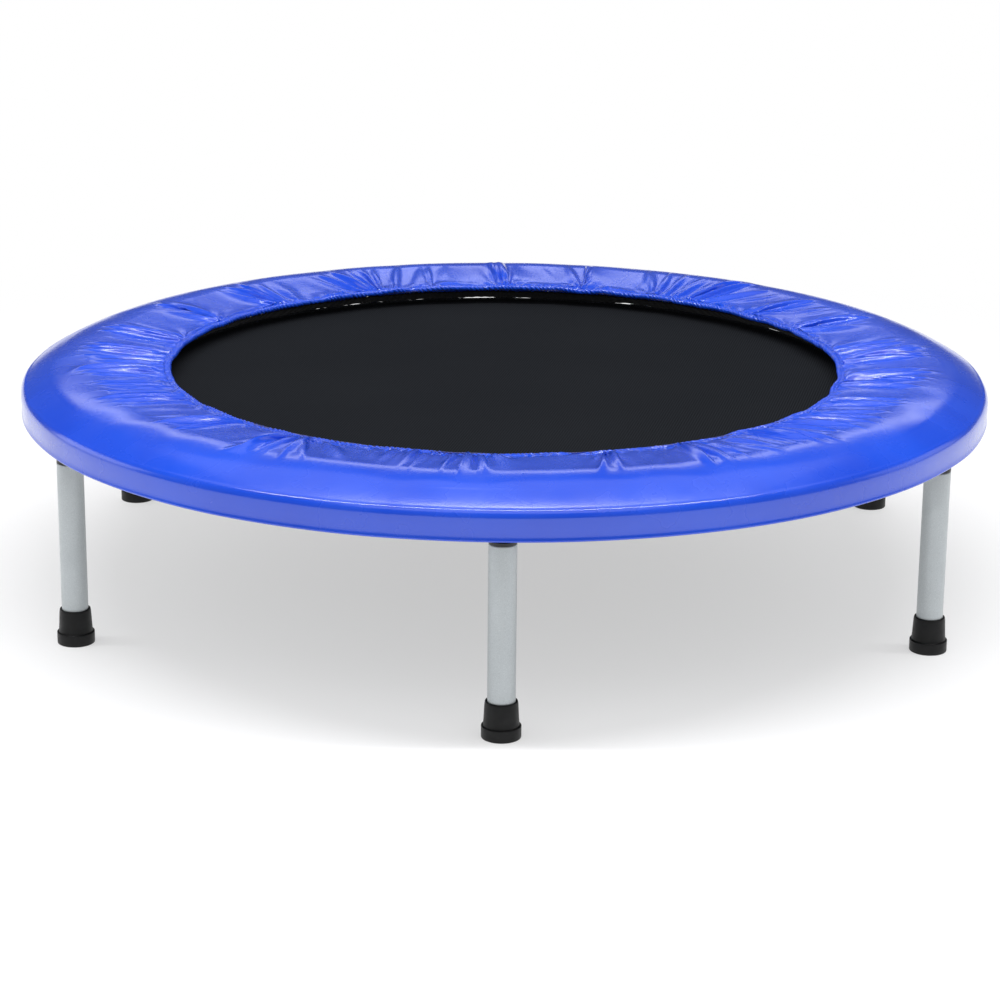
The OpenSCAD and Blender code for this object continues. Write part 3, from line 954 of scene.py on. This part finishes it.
def makeRings(p):
    z = frameZ
    corners = [Vector((p["barX"], p["barHalf"], z)), Vector((p["barX"], -p["barHalf"], z)),
               Vector((p["tipX"], -p["tipHalf"], z)), Vector((p["tipX"], p["tipHalf"], z))]
    ring = wirePiece("vRing", roundedLoop(corners, p["bend"]), p["wire"], closed=True, sides=10)
    smoothShade(ring, 60)
    rings = joined(repeatRound(ring, "ring", springCount, springAngle), "vRings")
    dress(rings, "zinc", "mat", "ring_steel", "v_rings")


makeRings(ringSettings)
print("V-rings made")


# springs

springSettings = {
    "wire": 0.0011, "coilR": 0.0059, "coilIn": tipR + 0.0140, "coilOut": 0.4400,
    "loopX": tipR + 0.0005, "loopR": 0.0034, "hookX": 0.4598, "hookBend": 0.0030, "tipRise": 0.0055,
    "turns": 15.5, "perTurn": 14,
}


def springPath(p):
    z = frameZ
    points = []
    # loop round the V-ring, open at its far side
    for k in range(19):
        a = math.radians(60 + 300 * k / 18)
        points.append((p["loopX"] + p["loopR"] * math.cos(a), 0, z + p["loopR"] * math.sin(a)))
    points.append((p["loopX"] + p["loopR"] + 0.0015, 0, z))
    points += [(p["coilIn"] - 0.004, 0, z), (p["coilIn"] - 0.0022, 0.0002, z + 0.0002)]
    for k in range(1, 8):  # out to the coil
        a = fullTurn * k / 16
        r = p["coilR"] * math.sin(k / 8 * math.pi / 2)
        points.append((p["coilIn"] - 0.0022 + 0.0022 * k / 8, r * math.cos(a), z + r * math.sin(a)))
    total = int(p["turns"] * p["perTurn"])
    for k in range(total + 1):
        a = fullTurn * (0.5 + k / p["perTurn"])
        x = p["coilIn"] + (p["coilOut"] - p["coilIn"]) * k / total
        points.append((x, p["coilR"] * math.cos(a), z + p["coilR"] * math.sin(a)))
    end = fullTurn * (0.5 + p["turns"])
    for k in range(1, 8):  # back to the middle
        a = end + fullTurn * k / 16
        r = p["coilR"] * math.cos(k / 8 * math.pi / 2)
        points.append((p["coilOut"] + 0.0022 * k / 8, r * math.cos(a), z + r * math.sin(a)))
    points.append((p["coilOut"] + 0.004, 0, z))
    for k in range(9):  # hook up into the tube
        a = math.radians(-90 + 90 * k / 8)
        points.append((p["hookX"] - p["hookBend"] + p["hookBend"] * math.cos(a), 0,
                       z + p["hookBend"] + p["hookBend"] * math.sin(a)))
    points.append((p["hookX"], 0, z + p["tipRise"]))
    return points


def makeSprings(p):
    spring = wirePiece("springWire", springPath(p), p["wire"], sides=6)
    smoothShade(spring, 70)
    for i in range(1, springCount + 1):
        angle = springAngle(i)
        twin = copyTurned(spring, f"coilSpring_{i}", angle)
        dress(twin, "zinc", None, "spring_steel", f"spring_{i}")
        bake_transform(twin)
    bpy.data.objects.remove(spring, do_unlink=True)


makeSprings(springSettings)
print("springs made")


# legs

legSettings = {
    "tubeR": 0.0125, "wall": 0.0015, "top": 0.1780, "round": 0.0012,
    "studR": 0.0043, "crest": 0.0049, "pitch": 0.0015,
}


def makeLegs(p):
    bottom, top = footLow.z + 0.006, p["top"]
    studTop = legHigh.z
    r, wall, edge = p["tubeR"], p["wall"], p["round"]
    profile = [(r - wall, bottom), (r, bottom), (r, bottom + 0.02), (r, 0.06), (r, 0.10), (r, 0.14),
               (r, top - edge)]
    profile += arcPoints((r - edge, top - edge), edge, 0, 90, 5)[1:]
    profile += [(0.0075, top), (0.0066, top + 0.0002), (0.0057, top + 0.0009),
                (p["studR"] + 0.0002, top + 0.0018), (p["studR"], top + 0.0024),
                (p["studR"], studTop - 0.0012), (p["studR"] - 0.0010, studTop), (0.0, studTop)]
    inside = [(0.0, top - 0.003), (r - wall, top - 0.003), (r - wall, bottom)]
    tube = spunPiece("legTube", profile, (0, 0, 0), 64)
    lining = spunPiece("legInside", inside, (0, 0, 0), 64)
    lining.data.flip_normals()
    turns = (studTop - 0.0014 - (top + 0.0028)) / p["pitch"]
    count = int(turns * 18)
    crestR = p["crest"] - 0.0004
    crest = [(crestR * math.cos(fullTurn * k / 18), crestR * math.sin(fullTurn * k / 18),
              top + 0.0028 + p["pitch"] * k / 18) for k in range(count)]
    thread = wirePiece("legThread", crest, 0.00055, sides=4)
    leg = joined([tube, lining, thread], "legTube")
    smoothShade(leg, 40)
    for i in range(1, legCount + 1):
        angle = legAngle(i)
        twin = copyTurned(leg, f"screwLeg_{i}", angle, (frameR * math.cos(angle), frameR * math.sin(angle), 0))
        dress(twin, "legPaint", f"leg_{i}", "leg_steel", f"leg_{i}")
    bpy.data.objects.remove(leg, do_unlink=True)


footSettings = {
    "flangeR": 0.01775, "flangeH": 0.0115, "collarR": 0.0160, "topR": 0.0145, "height": 0.034,
    "bore": 0.01255, "round": 0.0010,
}


def makeFeet(p):
    e = p["round"]
    # grip rings in the sole, then up the flange and the collar
    profile = [(0.0, 0.0016), (0.0035, 0.0016), (0.0040, 0.0002), (0.0065, 0.0), (0.0069, 0.0014),
               (0.0083, 0.0014), (0.0087, 0.0), (0.0112, 0.0), (0.0116, 0.0014), (0.0130, 0.0014), (0.0134, 0.0)]
    profile += arcPoints((p["flangeR"] - e, e), e, -90, 0, 5)
    profile += arcPoints((p["flangeR"] - 0.0008, p["flangeH"] - 0.0008), 0.0008, 0, 90, 4)
    profile += arcPoints((p["collarR"] + 0.0006, p["flangeH"] + 0.0006), 0.0006, 270, 180, 3)
    profile += [(p["collarR"] - 0.0004, 0.018), (p["topR"] + 0.0004, p["height"] - 0.003)]
    profile += arcPoints((p["topR"] - 0.0007, p["height"] - 0.0007), 0.0007, 0, 90, 4)
    profile += arcPoints((p["bore"] + 0.0005, p["height"] - 0.0005), 0.0005, 90, 180, 3)
    profile += [(p["bore"], 0.0062), (0.0, 0.0060)]
    foot = spunPiece("footSpun", profile, (0, 0, 0), 64)
    smoothShade(foot, 38)
    for i in range(1, legCount + 1):
        angle = legAngle(i)
        twin = copyTurned(foot, f"rubberFoot_{i}", angle, (frameR * math.cos(angle), frameR * math.sin(angle), 0))
        dress(twin, "rubber", f"leg_{i}", "foot_rubber", f"foot_{i}")
    bpy.data.objects.remove(foot, do_unlink=True)


makeLegs(legSettings)
makeFeet(footSettings)
print("legs and feet made")


# ring tube: weld beads and joint screws

weldSettings = {"socketR": 0.0080, "bead": 0.0011, "tubeR": 0.0125}


def makeWelds(p):
    points = []
    for k in range(72):
        a = fullTurn * k / 72
        x = (p["socketR"] + 0.0004) * math.cos(a)
        y = (p["socketR"] + 0.0004) * math.sin(a)
        z = frameZ - math.sqrt(p["tubeR"] ** 2 - x ** 2) - 0.0004 + 0.00022 * math.sin(24 * a)
        points.append((frameR + x, y, z))
    bead = wirePiece("weldBead", points, p["bead"], closed=True, sides=8)
    smoothShade(bead, 80)
    beads = joined(repeatRound(bead, "bead", legCount, legAngle), "socketWelds")
    dress(beads, "framePaint", "frame", "frame_steel")


makeWelds(weldSettings)
for name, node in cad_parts.items():
    if name.startswith("frame_arc"):
        kind = "framePaint"
    elif name.startswith("leg_washer"):
        kind = "nylon"
    elif name == "frame_joint_screws":
        kind = "zinc"
    else:
        continue
    node.data.materials.clear()
    node.data.materials.append(materials[kind])
print("ring dressed")


# studio

def makeStudio():
    bpy.ops.mesh.primitive_plane_add(size=14, location=(0, 2, 0))
    floor = bpy.context.object
    floor.name = "studioFloor"
    settle(floor)
    floor.data.materials.append(materials["floor"])
    world = bpy.data.worlds.new("studioWorld")
    bpy.context.scene.world = world
    world.use_nodes = True
    tree = world.node_tree
    tree.nodes.clear()
    # white to the eye, dimmer as a light, and dimmest in reflections
    paths = addNode(tree, "ShaderNodeLightPath").outputs
    shiny = calculate(tree, "SUBTRACT", 0.66, calculate(tree, "MULTIPLY", paths["Is Glossy Ray"], 0.58))
    lit = addNode(tree, "ShaderNodeBackground", {"Color": (1, 1, 1, 1), "Strength": shiny}).outputs[0]
    seen = addNode(tree, "ShaderNodeBackground", {"Color": (1, 1, 1, 1), "Strength": 1.0}).outputs[0]
    mixed = addNode(tree, "ShaderNodeMixShader", {0: paths["Is Camera Ray"], 1: lit, 2: seen}).outputs[0]
    addNode(tree, "ShaderNodeOutputWorld", {"Surface": mixed})
    bpy.context.scene.view_settings.view_transform = "Standard"
    bpy.context.scene.view_settings.look = "None"


makeStudio()
print("studio made")

bpy.ops.object.select_all(action="DESELECT")
